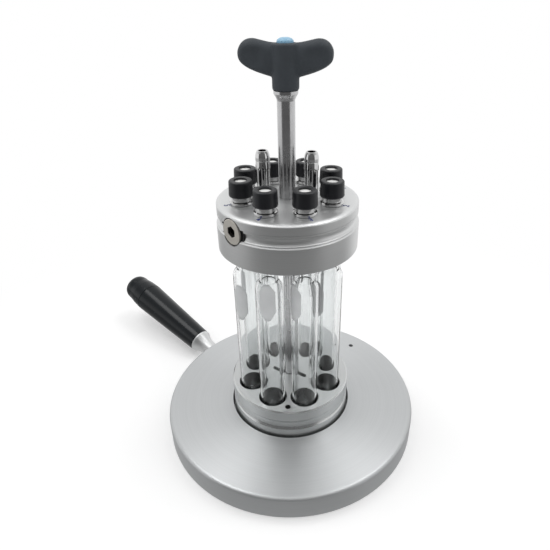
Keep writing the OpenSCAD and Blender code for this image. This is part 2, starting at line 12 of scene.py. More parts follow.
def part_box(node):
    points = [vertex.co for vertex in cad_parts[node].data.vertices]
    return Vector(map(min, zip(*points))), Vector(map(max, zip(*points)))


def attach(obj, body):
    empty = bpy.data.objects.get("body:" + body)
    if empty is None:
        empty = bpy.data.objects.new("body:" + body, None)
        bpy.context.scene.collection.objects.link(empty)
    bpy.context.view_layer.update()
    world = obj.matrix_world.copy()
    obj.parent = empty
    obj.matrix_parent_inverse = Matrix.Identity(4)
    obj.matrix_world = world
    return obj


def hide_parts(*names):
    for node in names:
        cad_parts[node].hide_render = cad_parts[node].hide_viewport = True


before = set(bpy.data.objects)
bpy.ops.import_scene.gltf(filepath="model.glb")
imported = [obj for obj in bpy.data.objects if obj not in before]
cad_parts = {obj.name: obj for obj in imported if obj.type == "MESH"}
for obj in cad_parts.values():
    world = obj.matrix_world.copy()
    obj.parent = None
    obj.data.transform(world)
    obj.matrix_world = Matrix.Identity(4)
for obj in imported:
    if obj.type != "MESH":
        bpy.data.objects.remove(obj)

bl_info = {
    "name": "Parallel reaction station",
    "version": (1, 0, 0),
    "blender": (4, 5, 0),
    "location": "View3D > Sidebar > Station",
    "description": "Finishes, numbers and moulded handle of an eight-place reaction station",
    "category": "Object",
}

MM = 0.001
UP = (0.0, 0.0, 1.0)
WHITE = (1.0, 1.0, 1.0, 1.0)
PLACES = range(1, 9)  # tubes, ports, caps and septa are numbered like this
AROUND = 96  # points on a full ring
NOISE_BAND = {"From Min": 0.3, "From Max": 0.7}  # where a noise's values mostly lie
WHOLE_WAY = {"From Min": -1, "From Max": 1}  # the range of a direction's part
TO_WORLD = {"vector_type": "VECTOR", "convert_from": "OBJECT", "convert_to": "WORLD"}
BORE_RADIUS = 38 * MM  # turned walls this close to the axis are wells, holes and the ports' seats
BORE_CHANGE = -0.08  # added to the roughness in those


def linear(code):
    """sRGB hex to linear: each channel c becomes c/12.92 below 0.04045 and ((c + 0.055)/1.055)^2.4
    above."""
    parts = (int(code[i : i + 2], 16) / 255 for i in (1, 3, 5))
    parts = [c / 12.92 if c <= 0.04045 else ((c + 0.055) / 1.055) ** 2.4 for c in parts]
    return (*parts, 1.0)


def colour(name, description, code):
    return FloatVectorProperty(
        name=name,
        description=description,
        default=linear(code),
        size=4,
        min=0,
        max=1,
        subtype="COLOR",
    )


def length(name, description, millimetres):
    return FloatProperty(
        name=name, description=description, default=millimetres * MM, unit="LENGTH", precision=5
    )


def turn(name, description, degrees):
    return FloatProperty(
        name=name, description=description, default=math.radians(degrees), subtype="ANGLE"
    )


# Values -------------------------------------------------------------------------------------------


class StationColours(bpy.types.PropertyGroup):
    base: colour("Base aluminium", "Face-turned plate under the block", "#cfd1d2")
    block: colour("Block aluminium", "Turned heating block", "#d0d2d2")
    head: colour("Head aluminium", "Satin plates of the head", "#e0e1e1")
    shaft: colour("Ground steel", "Lifting shaft", "#c2c2c3")
    steel: colour("Polished steel", "Ports and hose tails", "#d1d1d1")
    ferrule: colour("Ferrule steel", "Satin ferrule of the base handle", "#e0e1e1")
    plug: colour("Plug steel", "Turned socket plug on the head's side", "#d6d2ca")
    # Painted shade: the socket's walls and bottom get this dark steel for the shadow deep in the
    # socket, which is shallower here than on the real plug.
    socket: colour("Socket steel", "Shade-painted walls of the plug's socket", "#3a3936")
    fastener: colour("Fastener steel", "Screws, pin and circlip", "#9c9d9e")
    glass: colour("Glass tint", "Tint of the tubes' walls", "#f8f9f9")
    patch: colour("Marking patch", "Fired-on patch for writing on a tube", "#d2d4d5")
    cap: colour("Screw caps", "Moulded phenolic", "#111318")
    septum: colour("Septa", "Silicone discs under the caps' holes", "#f2f2f0")
    rubber: colour("Seals", "O-rings and the plug's seal", "#17171a")
    bush: colour("Bush", "White bearing plastic", "#e9e8e3")
    tee: colour("T handle", "Glass-filled nylon", "#3d4247")
    tee_cap: colour("T handle cap", "Pale blue moulding", "#8fbbd6")
    grip: colour("Grip", "Moulded grip of the base handle", "#14181b")
    number: colour("Numbers", "Ink of the port numbers", "#28366f")


class StationSizes(bpy.types.PropertyGroup):
    number_height: length("Number height", "Height of a printed port number", 3.1)
    number_ring: length("Number ring", "Radius at which the numbers stand", 34.8)
    port_turn: turn("Port ring turn", "Bearing of port 1", 19.6)
    patch_width: length("Patch width", "Width of a marking patch round the tube", 9.6)
    patch_height: length("Patch height", "Height of a marking patch", 24.3)
    patch_corner: length("Patch corner width", "How far a cut corner reaches across", 3.4)
    patch_slope: length("Patch corner height", "How far a cut corner reaches up", 5.5)
    plug_turn: turn("Gas plug turn", "Bearing of the plug's axis", -137.9)
    handle_turn: turn("Base handle turn", "Bearing of the base handle's axis", 138)
    handle_lean: turn("Base handle lean", "How steeply the base handle rises", 11.7)
    tee_turn: turn("T handle turn", "Bearing of its right arm", -10.9)
    tee_voxel: length("T handle grain", "Voxel that blends its arms and hub", 0.3)


class StudioValues(bpy.types.PropertyGroup):
    camera_place: FloatVectorProperty(
        name="Camera place",
        description="Where the camera stands",
        default=(0, -0.2568, 0.263),
        subtype="TRANSLATION",
    )
    camera_pitch: turn("Camera pitch", "How far it looks down", 29.605)
    camera_yaw: turn("Camera yaw", "How far it looks to the left", -0.665)
    camera_roll: turn("Camera roll", "Its tilt", -0.567)
    lens: FloatProperty(
        name="Lens", description="Focal length on a 36 mm sensor", default=31.78, unit="CAMERA"
    )
    framing: FloatVectorProperty(
        name="Framing",
        description="The lens's small shift across and up",
        default=(-0.0337, -0.0105),
        size=2,
    )
    lamp_place: FloatVectorProperty(
        name="Lamp place",
        description="Where the right softbox hangs; the left one mirrors it",
        default=(0.42, 0.12, 1.0),
        subtype="TRANSLATION",
    )
    lamp_aim: length("Lamp aim", "Height over the part's foot that the softboxes face", 100)
    lamp_size: FloatVectorProperty(
        name="Lamp size",
        description="Width and height of a softbox",
        default=(0.5, 0.45),
        size=2,
        unit="LENGTH",
    )
    lamp_power: FloatProperty(
        name="Lamp power", description="Power of each softbox", default=2.25, unit="POWER"
    )
    room_light: FloatProperty(
        name="Room light", description="Plain light from all round", default=0.7
    )
    card: colour("Card", "The matt white sheet under the part", "#e6e6e6")
    floor_radius: length("Floor radius", "Size of the sheet", 4000)


# Mesh and node tools ------------------------------------------------------------------------------


def keep(mesh, name, body, material, smooth=True):
    """Makes a finished object from a mesh that already holds its place, and ties it to its body and
    finish."""
    piece = bpy.data.objects.new(name, mesh)
    bpy.context.scene.collection.objects.link(piece)
    mesh.materials.clear()
    mesh.materials.append(material)
    mesh.polygons.foreach_set("use_smooth", np.full(len(mesh.polygons), smooth))
    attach(piece, body)
    return piece


def as_object(points, faces, name):
    """A linked object with a new mesh of this name."""
    mesh = bpy.data.meshes.new(name)
    mesh.from_pydata(points.tolist(), [], faces)
    made = bpy.data.objects.new(name, mesh)
    bpy.context.scene.collection.objects.link(made)
    return made


def quads(index, ahead):
    """Quads between neighbouring rows of point numbers, where ahead holds each point's neighbour in
    its row."""
    return np.stack([index[:-1], ahead[:-1], ahead[1:], index[1:]], axis=-1).reshape(-1, 4).tolist()


def skin(rings, start, end, first=0):
    """A closed skin as (points, faces): rings[i, j] is point j round ring i, neighbouring rings are
    joined by quads, and the first and last ring are closed by fans to the points start and end.
    Points count from first."""
    count, around = rings.shape[:2]
    total = first + count * around
    index = np.arange(first, total).reshape(count, around)
    ahead = np.roll(index, -1, axis=1)
    opening = np.stack([ahead[0], index[0], np.full(around, total)], axis=-1)
    closing = np.stack([index[-1], ahead[-1], np.full(around, total + 1)], axis=-1)
    points = np.concatenate([rings.reshape(-1, 3), [start, end]])
    return points, quads(index, ahead) + opening.tolist() + closing.tolist()


def turned_skin(radii, heights, first=0):
    """A profile carried round the z axis: ring i has radius radii[i] at heights[i]. It starts and
    ends on the axis."""
    angle = np.linspace(0, 2 * np.pi, AROUND, endpoint=False)
    r, z = np.asarray(radii)[:, None], np.asarray(heights)[:, None]
    rings = np.stack([r * np.cos(angle), r * np.sin(angle), z + 0 * angle], axis=-1)
    return skin(rings, (0, 0, heights[0]), (0, 0, heights[-1]), first)


def smooth_curve(at, known, values):
    """A cubic through known points: on each stretch the ends' slopes are those of a line through
    their neighbours."""
    known, values = np.asarray(known, float), np.asarray(values, float)
    slopes = np.gradient(values, known)
    i = np.clip(np.searchsorted(known, at) - 1, 0, len(known) - 2)
    stretch = known[i + 1] - known[i]
    t = (at - known[i]) / stretch
    return (
        values[i] * (1 + 2 * t) * (1 - t) ** 2
        + values[i + 1] * t**2 * (3 - 2 * t)
        + stretch * (slopes[i] * t * (1 - t) ** 2 - slopes[i + 1] * t**2 * (1 - t))
    )


def add(tree, kind, inputs=None, **settings):
    """Adds a shader node. settings are its own fields; inputs are its sockets' values, or the
    sockets that feed them, or the nodes whose first output does."""
    made = tree.nodes.new("ShaderNode" + kind)
    for field, value in settings.items():
        setattr(made, field, value)
    for socket, value in (inputs or {}).items():
        if isinstance(value, bpy.types.Node):
            value = value.outputs[0]
        if isinstance(value, bpy.types.NodeSocket):
            tree.links.new(value, made.inputs[socket])
        else:
            made.inputs[socket].default_value = value
    return made


def mask(tree, *stretches):
    """How far a place lies in all of these stretches. Each one is (value, start, end) and rises
    smoothly from 0 where value is start to 1 where it is end; the mask is their product."""
    whole = None
    for value, start, end in stretches:
        limits = {"Value": value, "From Min": start, "From Max": end}
        part = add(tree, "MapRange", limits, interpolation_type="SMOOTHSTEP")
        whole = add(tree, "Math", {0: whole, 1: part}, operation="MULTIPLY") if whole else part
    return whole


def new_material(name):
    """An empty material and its tree."""
    material = bpy.data.materials.new(name)
    material.use_nodes = True
    material.node_tree.nodes.clear()
    return material, material.node_tree


def dress(material, *names):
    """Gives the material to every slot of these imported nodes."""
    for name in names:
        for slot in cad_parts[name].material_slots:
            slot.material = material


def numbered(stem):
    return [f"{stem}_{n}" for n in PLACES]


def values():
    scene = bpy.context.scene
    return scene.station_colours, scene.station_sizes, scene.station_studio


# Materials ----------------------------------------------------------------------------------------


def turned_aluminium(name, tint, roughness, anisotropic, pitch, relief, edges):
    """Aluminium turned on a lathe. The tool leaves rings about the part's axis, so a highlight
    spreads across them into bright fans. Reamed bores mirror a little sharper, and edges and
    grooves are rougher by the value edges, or finer where it is negative. The rings are drawn at
    pitch millimetres, coarser than the real 0.1 mm so that they show, and relief millimetres
    deep."""
    material, tree = new_material(name)
    coordinates = add(tree, "TexCoord").outputs
    place, outward = coordinates["Object"], coordinates["Normal"]
    flat = add(tree, "VectorMath", {0: place, 1: (1, 1, 0)}, operation="MULTIPLY")
    radius = add(tree, "VectorMath", {0: flat}, operation="LENGTH").outputs["Value"]
    height = add(tree, "SeparateXYZ", {0: place}).outputs["Z"]
    # The tool marks run along the axis times the place on faces, and along the axis times the
    # normal on walls and in bores. A place is short beside a normal, so their sum serves for all.
    both = add(tree, "VectorMath", {0: place, 1: outward}, operation="ADD")
    groove = add(tree, "VectorMath", {0: UP, 1: both}, operation="CROSS_PRODUCT")
    along = add(tree, "VectorTransform", {0: groove}, **TO_WORLD)
    along = add(tree, "VectorMath", {0: along}, operation="NORMALIZE")
    track = add(tree, "CombineXYZ", {"X": radius, "Z": height})
    fine = {"Scale": 1 / (pitch * MM), "Detail": 3.0, "Roughness": 0.6}
    rings = add(tree, "TexNoise", {"Vector": track, **fine})
    shade = add(tree, "MapRange", {**NOISE_BAND, "Value": rings, "To Min": 0.96, "To Max": 1.02})
    shaded = add(tree, "VectorMath", {0: tint[:3], "Scale": shade}, operation="SCALE")
    # Slow clouds, about 30 mm, of handling and cleaning.
    cloud = add(tree, "TexNoise", {"Vector": place, "Scale": 1 / (30 * MM), "Detail": 2.0})
    drift = {"To Min": roughness - 0.03, "To Max": roughness + 0.03}
    rough = add(tree, "MapRange", {**NOISE_BAND, "Value": cloud, **drift})
    # An edge's normal leans. A bore's is level, and the bore lies near the axis.
    rise = add(tree, "VectorMath", {0: outward, 1: UP}, operation="DOT_PRODUCT").outputs["Value"]
    rise = add(tree, "Math", {0: rise}, operation="ABSOLUTE")
    bore = mask(tree, (rise, 0.2, 0.1), (radius, BORE_RADIUS, BORE_RADIUS - MM))
    rough = add(tree, "Math", {0: bore, 1: BORE_CHANGE, 2: rough}, operation="MULTIPLY_ADD")
    edge = mask(tree, (rise, 0.3, 0.5), (rise, 0.97, 0.85))
    rough = add(tree, "Math", {0: edge, 1: edges, 2: rough}, operation="MULTIPLY_ADD")
    bump = add(tree, "Bump", {"Strength": 1.0, "Distance": relief * MM, "Height": rings})
    metal = add(
        tree,
        "BsdfPrincipled",
        {
            "Base Color": shaded,
            "Metallic": 1.0,
            "Roughness": rough,
            "Anisotropic": anisotropic,
            "Anisotropic Rotation": 0.25,
            "Tangent": along,
            "Normal": bump,
        },
    )
    add(tree, "OutputMaterial", {0: metal})
    return material


def polished_steel(name, tint, axis, roughness, anisotropic=0.5):
    """Stainless steel, turned and polished. It mirrors the studio in long streaks, a little blurred
    across the polishing lines, which run round the axis and are drawn at 0.35 mm so that they
    show."""
    material, tree = new_material(name)
    coordinates = add(tree, "TexCoord").outputs
    place, outward = coordinates["Object"], coordinates["Normal"]
    along = add(tree, "VectorMath", {0: place, 1: axis}, operation="DOT_PRODUCT").outputs["Value"]
    fine = {"Scale": 1 / (0.35 * MM), "Detail": 2.0}
    lines = add(tree, "TexNoise", {"W": along, **fine}, noise_dimensions="1D")
    # Smears, about 6 mm, of the polishing cloth.
    smears = add(tree, "TexNoise", {"Vector": place, "Scale": 1 / (6 * MM), "Detail": 2.0})
    drift = {"To Min": roughness - 0.03, "To Max": roughness + 0.05}
    rough = add(tree, "MapRange", {**NOISE_BAND, "Value": smears, **drift})
    bump = add(tree, "Bump", {"Strength": 1.0, "Distance": 0.004 * MM, "Height": lines})
    # The lines' direction is square to the axis and to the surface; end faces get any direction.
    groove = add(tree, "VectorMath", {0: axis, 1: outward}, operation="CROSS_PRODUCT")
    groove = add(tree, "VectorMath", {0: groove, 1: (0.001, 0, 0)}, operation="ADD")
    groove = add(tree, "VectorTransform", {0: groove}, **TO_WORLD)
    metal = add(
        tree,
        "BsdfPrincipled",
        {
            "Base Color": tint,
            "Metallic": 1.0,
            "Roughness": rough,
            "Anisotropic": anisotropic,
            "Anisotropic Rotation": 0.25,
            "Tangent": groove,
            "Normal": bump,
        },
    )
    add(tree, "OutputMaterial", {0: metal})
    return material


def borosilicate_glass(name, tint):
    """Borosilicate glass, drawn and flame-polished. Smooth and clear, with a faint grey of its
    walls and slow waves about 9 mm long that bend what stands behind it."""
    material, tree = new_material(name)
    place = add(tree, "TexCoord").outputs["Object"]
    waves = add(tree, "TexNoise", {"Vector": place, "Scale": 1 / (9 * MM), "Detail": 1.0})
    bump = add(tree, "Bump", {"Strength": 1.0, "Distance": 0.012 * MM, "Height": waves})
    glass = add(
        tree,
        "BsdfPrincipled",
        {
            "Base Color": tint,
            "Roughness": 0.0,
            "IOR": 1.473,
            "Transmission Weight": 1.0,
            "Normal": bump,
        },
    )
    add(tree, "OutputMaterial", {0: glass})
    return material


def moulding(name, tint, roughness, grain, relief, fade=0.12, ior=1.5):
    """A moulded plastic or rubber. It has the mould's fine spark-eroded grain, drawn at grain
    millimetres, and its colour drifts by the share fade over about 11 mm where it has been
    handled."""
    material, tree = new_material(name)
    place = add(tree, "TexCoord").outputs["Object"]
    fine = {"Scale": 1 / (grain * MM), "Detail": 3.0, "Roughness": 0.6}
    pits = add(tree, "TexNoise", {"Vector": place, **fine})
    wear = add(tree, "TexNoise", {"Vector": place, "Scale": 1 / (11 * MM), "Detail": 2.0})
    fades = {"To Min": 1 - fade, "To Max": 1 + fade}
    shade = add(tree, "MapRange", {**NOISE_BAND, "Value": wear, **fades})
    shaded = add(tree, "VectorMath", {0: tint[:3], "Scale": shade}, operation="SCALE")
    drift = {"To Min": roughness - 0.05, "To Max": roughness + 0.05}
    rough = add(tree, "MapRange", {**NOISE_BAND, "Value": pits, **drift})
    bump = add(tree, "Bump", {"Strength": 1.0, "Distance": relief * MM, "Height": pits})
    plastic = add(
        tree,
        "BsdfPrincipled",
        {"Base Color": shaded, "Roughness": rough, "IOR": ior, "Normal": bump},
    )
    add(tree, "OutputMaterial", {0: plastic})
    return material


# Operators ----------------------------------------------------------------------------------------


class STATION_OT_stage(bpy.types.Operator):
    """Lays the pale floor, hangs the softboxes and sets up the camera"""

    bl_idname = "station.stage"
    bl_label = "Studio"

    # How bright metal mirrors each part of the room, where 1 is white.
    card_front, card_back = 0.42, 0.7  # the first one beside the part too
    table_left, table_right, table_back, table_front = 0.38, 0.28, 0.92, 0.23
    wall_dark, wall_white = 0.12, 1.0
    ceiling_front, ceiling_back = 0.6, 0.85
    ceiling_sides = -0.25  # added to the ceiling's level there
    front_dark = 0.15
    lit_patch = 0.6  # added where the patch is
    card_lift = 0.28  # the card's own light, which takes it to white for the camera

    def execute(self, context):
        studio = values()[2]
        self.make_floor(studio)
        self.make_world(studio)
        for name, side in (("softbox_left", -1), ("softbox_right", 1)):
            lamp = bpy.data.lights.new(name, "AREA")
            lamp.shape = "RECTANGLE"
            lamp.size, lamp.size_y = studio.lamp_size
            lamp.energy = studio.lamp_power
            box = bpy.data.objects.new(name, lamp)
            box.location = studio.lamp_place
            box.location.x *= side
            aim = Vector((0, 0, studio.lamp_aim)) - box.location
            box.rotation_euler = aim.to_track_quat("-Z", "Y").to_euler()
            box.visible_camera = False
            context.scene.collection.objects.link(box)
        self.make_camera(context, studio)
        context.scene.view_settings.view_transform = "Standard"
        return {"FINISHED"}

    def make_camera(self, context, studio):
        pitch, yaw, roll = studio.camera_pitch, studio.camera_yaw, studio.camera_roll
        level = math.cos(pitch)
        view = Vector((-math.sin(yaw) * level, math.cos(yaw) * level, -math.sin(pitch)))
        right = Vector((math.cos(yaw), math.sin(yaw), 0))
        up = right.cross(view)
        tilted = right * math.cos(roll) + up * math.sin(roll)
        upright = up * math.cos(roll) - right * math.sin(roll)
        data = bpy.data.cameras.new("camera")
        data.lens = studio.lens
        data.shift_x, data.shift_y = studio.framing
        data.sensor_width = 36
        data.clip_start = 10 * MM
        camera = bpy.data.objects.new("camera", data)
        turned = Matrix((tilted, upright, -view)).transposed().to_4x4()
        camera.matrix_world = Matrix.Translation(studio.camera_place) @ turned
        context.scene.collection.objects.link(camera)
        context.scene.camera = camera

    def make_floor(self, studio):
        """A round sheet of radius R, 0.1 mm under the part. Ring i has radius R s, where the share
        s is t^2 and t runs from 0.02 to 1. From s = 0.7 on it turns up gently, by 0.1 (s - 0.7)^2
        metres."""
        share = np.linspace(0.02, 1, 40)[:, None] ** 2
        bearing = np.linspace(0, 2 * np.pi, AROUND, endpoint=False)
        r = studio.floor_radius * share
        level = -0.1 * MM
        z = 0.1 * np.clip(share - 0.7, 0, 1) ** 2 + level
        sheet = np.stack([r * np.cos(bearing), r * np.sin(bearing), z + 0 * bearing], axis=-1)
        index = np.arange(r.size * AROUND).reshape(-1, AROUND)
        ahead = np.roll(index, -1, axis=1)
        middle = np.full(AROUND, index.size)
        fan = np.stack([index[0], ahead[0], middle], axis=-1)
        points = np.concatenate([sheet.reshape(-1, 3), [(0, 0, level)]])
        floor = as_object(points, quads(ahead, index) + fan.tolist(), "floor")
        floor.data.materials.append(self.floor_material(studio))

    def floor_material(self, studio):
        """Matt white card. A little light of its own for camera and transmission rays takes it to
        white and leaves the object's shadow. Metal mirrors it grey near the object, and further off
        as bright as the room there."""
        material, tree = new_material("white_card")
        rays = add(tree, "LightPath").outputs
        camera, through = rays["Is Camera Ray"], rays["Is Transmission Ray"]
        clear = add(tree, "Math", {0: camera, 1: through}, operation="MAXIMUM")
        place = add(tree, "NewGeometry").outputs["Position"]
        reach = add(tree, "VectorMath", {0: place}, operation="LENGTH").outputs["Value"]
        card = add(tree, "BsdfDiffuse", {"Color": studio.card})
        lift = add(tree, "Math", {0: clear, 1: self.card_lift}, operation="MULTIPLY")
        glow = add(tree, "Emission", {"Color": WHITE, "Strength": lift})
        near = add(tree, "AddShader", {0: card, 1: glow})
        white = add(tree, "Emission", {"Color": WHITE})
        far = mask(tree, (reach, 0.16, 0.34))
        far = add(tree, "Math", {0: far, 1: clear}, operation="MULTIPLY")
        seen = add(tree, "MixShader", {0: far, 1: near, 2: white})
        # Metal mirrors the card beside the part, further off the table, and then the walls' feet.
        # Each takes over from one distance to the next, in metres.
        table, depth = self.table(tree, place)
        ends = {"To Min": self.card_front, "To Max": self.card_back}
        level = add(tree, "MapRange", {"Value": depth, **ends})
        for start, end, further in ((0.095, 0.16, table), (0.5, 0.8, self.walls(tree, place))):
            share = mask(tree, (reach, start, end))
            level = add(tree, "Mix", {0: share, 2: level, 3: further}, data_type="FLOAT")
        mirrored = add(tree, "Emission", {"Color": WHITE, "Strength": level})
        # A ray that passes through clear glass counts as glossy too, so it is taken out.
        glossy = add(tree, "Math", {0: rays["Is Glossy Ray"], 1: through}, operation="SUBTRACT")
        add(tree, "OutputMaterial", {0: add(tree, "MixShader", {0: glossy, 1: seen, 2: mirrored})})
        return material

    def bearing(self, tree, way):
        """The level part of a direction, of length 1."""
        flat = add(tree, "VectorMath", {0: way, 1: (1, 1, 0)}, operation="MULTIPLY")
        return add(tree, "VectorMath", {0: flat}, operation="NORMALIZE")

    def walls(self, tree, way):
        """How bright the walls are: white, but for a dark stretch in front, a little wider on the
        left."""
        flat = self.bearing(tree, way)
        toward = add(tree, "VectorMath", {0: flat, 1: (-0.11, -0.994, 0)}, operation="DOT_PRODUCT")
        share = mask(tree, (toward.outputs["Value"], 0.66, 0.52))
        ends = {"To Min": self.wall_dark, "To Max": self.wall_white}
        return add(tree, "MapRange", {"Value": share, **ends})

    def table(self, tree, way):
        """How bright the table is in a direction, and how far back the direction points: -1 in
        front, 1 behind."""
        flat = self.bearing(tree, way)
        across, depth, _ = add(tree, "SeparateXYZ", {0: flat}).outputs
        window = add(tree, "VectorMath", {0: flat, 1: (0.25, 0.97, 0)}, operation="DOT_PRODUCT")
        back = mask(tree, (window.outputs["Value"], 0.3, 0.9))
        front = mask(tree, (depth, -0.1, -0.9))
        ends = {"To Min": self.table_left, "To Max": self.table_right}
        level = add(tree, "MapRange", {"Value": across, **WHOLE_WAY, **ends})
        for share, there in ((back, self.table_back), (front, self.table_front)):
            level = add(tree, "Mix", {0: share, 2: level, 3: there}, data_type="FLOAT")
        return level, depth

    def make_world(self, studio):
        """White for camera and transmission rays and plain light for the rest. Polished metal
        mirrors a room that is bright behind and overhead and dark in front, up to a lit patch high
        in front."""
        world = bpy.data.worlds.new("studio")
        world.use_nodes = True
        tree = world.node_tree
        tree.nodes.clear()
        rays = add(tree, "LightPath").outputs
        way = add(tree, "TexCoord").outputs["Generated"]
        height = add(tree, "SeparateXYZ", {0: way}).outputs["Z"]
        depth = add(tree, "SeparateXYZ", {0: self.bearing(tree, way)}).outputs["Y"]
        ends = {"To Min": self.ceiling_front, "To Max": self.ceiling_back}
        ceiling = add(tree, "MapRange", {"Value": depth, **WHOLE_WAY, **ends})
        side = mask(tree, (add(tree, "Math", {0: depth}, operation="ABSOLUTE"), 0.85, 0.5))
        drop = {0: side, 1: self.ceiling_sides, 2: ceiling}
        ceiling = add(tree, "Math", drop, operation="MULTIPLY_ADD")
        high = mask(tree, (height, 0.2, 0.6))
        low_front = mask(tree, (depth, -0.6, -0.92), (height, 0.86, 0.76))
        room = self.walls(tree, way)
        for share, there in ((high, ceiling), (low_front, self.front_dark)):
            room = add(tree, "Mix", {0: share, 2: room, 3: there}, data_type="FLOAT")
        toward = add(tree, "VectorMath", {0: way, 1: (0, -0.47, 0.88)}, operation="DOT_PRODUCT")
        lit = mask(tree, (toward.outputs["Value"], 0.93, 0.985))
        room = add(tree, "Math", {0: lit, 1: self.lit_patch, 2: room}, operation="MULTIPLY_ADD")
        seen = {0: rays["Is Camera Ray"], 1: rays["Is Transmission Ray"]}
        clear = add(tree, "Math", seen, operation="MAXIMUM")
        level = studio.room_light
        for share, there in ((rays["Is Glossy Ray"], room), (clear, 1.0)):
            level = add(tree, "Mix", {0: share, 2: level, 3: there}, data_type="FLOAT")
        add(tree, "OutputWorld", {0: add(tree, "Background", {"Color": WHITE, "Strength": level})})
        bpy.context.scene.world = world


class STATION_OT_aluminium(bpy.types.Operator):
    """Gives the base plate, the block and the head's plates their turned aluminium"""

    bl_idname = "station.aluminium"
    bl_label = "Aluminium parts"

    def execute(self, context):
        colours = values()[0]
        faced = turned_aluminium(
            "face_turned_aluminium",
            colours.base,
            roughness=0.44,
            anisotropic=0.7,
            pitch=0.5,
            relief=0.004,
            edges=0.0,
        )
        dress(faced, "base_plate")
        turned = turned_aluminium(
            "turned_block_aluminium",
            colours.block,
            roughness=0.36,
            anisotropic=0.4,
            pitch=0.5,
            relief=0.003,
            edges=-0.14,
        )
        dress(turned, "heating_block")
        satin = turned_aluminium(
            "satin_turned_aluminium",
            colours.head,
            roughness=0.42,
            anisotropic=0.3,
            pitch=0.4,
            relief=0.003,
            edges=0.05,
        )
        dress(satin, "head_jacket", "gas_manifold", "head_cover")
        return {"FINISHED"}


class STATION_OT_steel(bpy.types.Operator):
    """Gives the shaft, ports, hose tails, ferrule and fasteners their steel"""

    bl_idname = "station.steel"
    bl_label = "Steel parts"

    def execute(self, context):
        colours, sizes, _ = values()
        bearing, lean = sizes.handle_turn, sizes.handle_lean
        level = math.cos(lean)
        handle = (math.cos(bearing) * level, math.sin(bearing) * level, math.sin(lean))
        ground = polished_steel("ground_stainless_steel", colours.shaft, UP, roughness=0.24)
        dress(ground, "lift_shaft", "tee_insert")
        bright = polished_steel(
            "polished_stainless_steel", colours.steel, UP, roughness=0.08, anisotropic=0.2
        )
        dress(bright, "water_inlet", "water_outlet", *numbered("port"))
        satin = polished_steel("satin_ferrule_steel", colours.ferrule, handle, roughness=0.46)
        dress(satin, "handle_spindle")
        plated = polished_steel("zinc_plated_steel", colours.fastener, UP, roughness=0.32)
        dress(plated, "cross_pin", "shaft_circlip", "head_screws", "grip_washer", "grip_screw")
        return {"FINISHED"}


class STATION_OT_plug(bpy.types.Operator):
    """Turns the gas plug with the wide hexagon socket of its face"""

    bl_idname = "station.plug"
    bl_label = "Gas plug"

    # Radius and depth in mm, from the thread's end over the disc to the rim of its face.
    outline = (
        (2.2, -5.85), (2.45, -5.6), (2.45, -1.25), (7.0, -1.25),
        (7.1, -1.15), (7.1, -0.25), (6.85, 0),
    )
    # Half width over flats and depth in mm: the socket's chamfered mouth, wall, shelf and deep
    # middle.
    socket = ((3.05, 0), (2.85, -0.2), (2.8, -1.05), (1.95, -1.1), (1.95, -3))

    def execute(self, context):
        colours, sizes, _ = values()
        out = Vector((math.cos(sizes.plug_turn), math.sin(sizes.plug_turn), 0))
        steel = polished_steel(
            "turned_plug_steel", colours.plug, tuple(out), roughness=0.42, anisotropic=0.3
        )
        lowest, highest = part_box("gas_plug")
        # The box reaches out by the face's distance along its bearing and half the disc's width
        # across it.
        disc = (highest.z - lowest.z) / 2
        face = (-lowest.y - disc * abs(out.x)) / abs(out.y)
        rings = [self.ring(radius, depth, False) for radius, depth in self.outline]
        rings += [self.ring(flats, depth, True) for flats, depth in self.socket]
        ends = [(0, 0, depth * MM) for _, depth in (self.outline[0], self.socket[-1])]
        points, faces = skin(np.stack(rings), *ends)
        mesh = bpy.data.meshes.new("socket_plug")
        mesh.from_pydata(points.tolist(), [], faces)
        place = Matrix.Translation((face * out.x, face * out.y, (highest.z + lowest.z) / 2))
        place = place @ Matrix.Rotation(sizes.plug_turn, 4, "Z")
        place = place @ Matrix.Rotation(math.pi / 2, 4, "Y")
        mesh.transform(place)
        plug = keep(mesh, "socket_plug", "plug", steel)
        # Second slot: dark steel painted into the socket as its shade.
        mesh.materials.append(
            polished_steel("socket_steel_painted_shade", colours.socket, tuple(out), roughness=0.5)
        )
        # Painted shade: from under the mouth's chamfer to the bottom, which is the last fan, the
        # socket gets the dark steel, for the shadow that lies deep in the real, deeper socket.
        painted_shade = np.zeros(len(mesh.polygons), np.int32)
        painted_shade[AROUND * (len(self.outline) + 1) : AROUND * (len(rings) - 1)] = 1
        painted_shade[-AROUND:] = 1
        mesh.polygons.foreach_set("material_index", painted_shade)
        mesh.set_sharp_from_angle(angle=math.radians(35))
        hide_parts("gas_plug")
        return {"FINISHED"}

    def ring(self, size, depth, hexagon):
        """Points about the axis at the given depth, with both values in mm: on a circle of radius
        size, or on a hexagon of half width size, whose radius at a bearing is size over the cosine
        of the bearing from its nearest flat's middle."""
        angle = np.linspace(0, 2 * np.pi, AROUND, endpoint=False)
        part = np.mod(angle, np.pi / 3) - np.pi / 6
        radius = size * MM / np.cos(part) if hexagon else size * MM + 0 * angle
        x, y = radius * np.cos(angle), radius * np.sin(angle)
        return np.stack([x, y, depth * MM + 0 * angle], axis=-1)


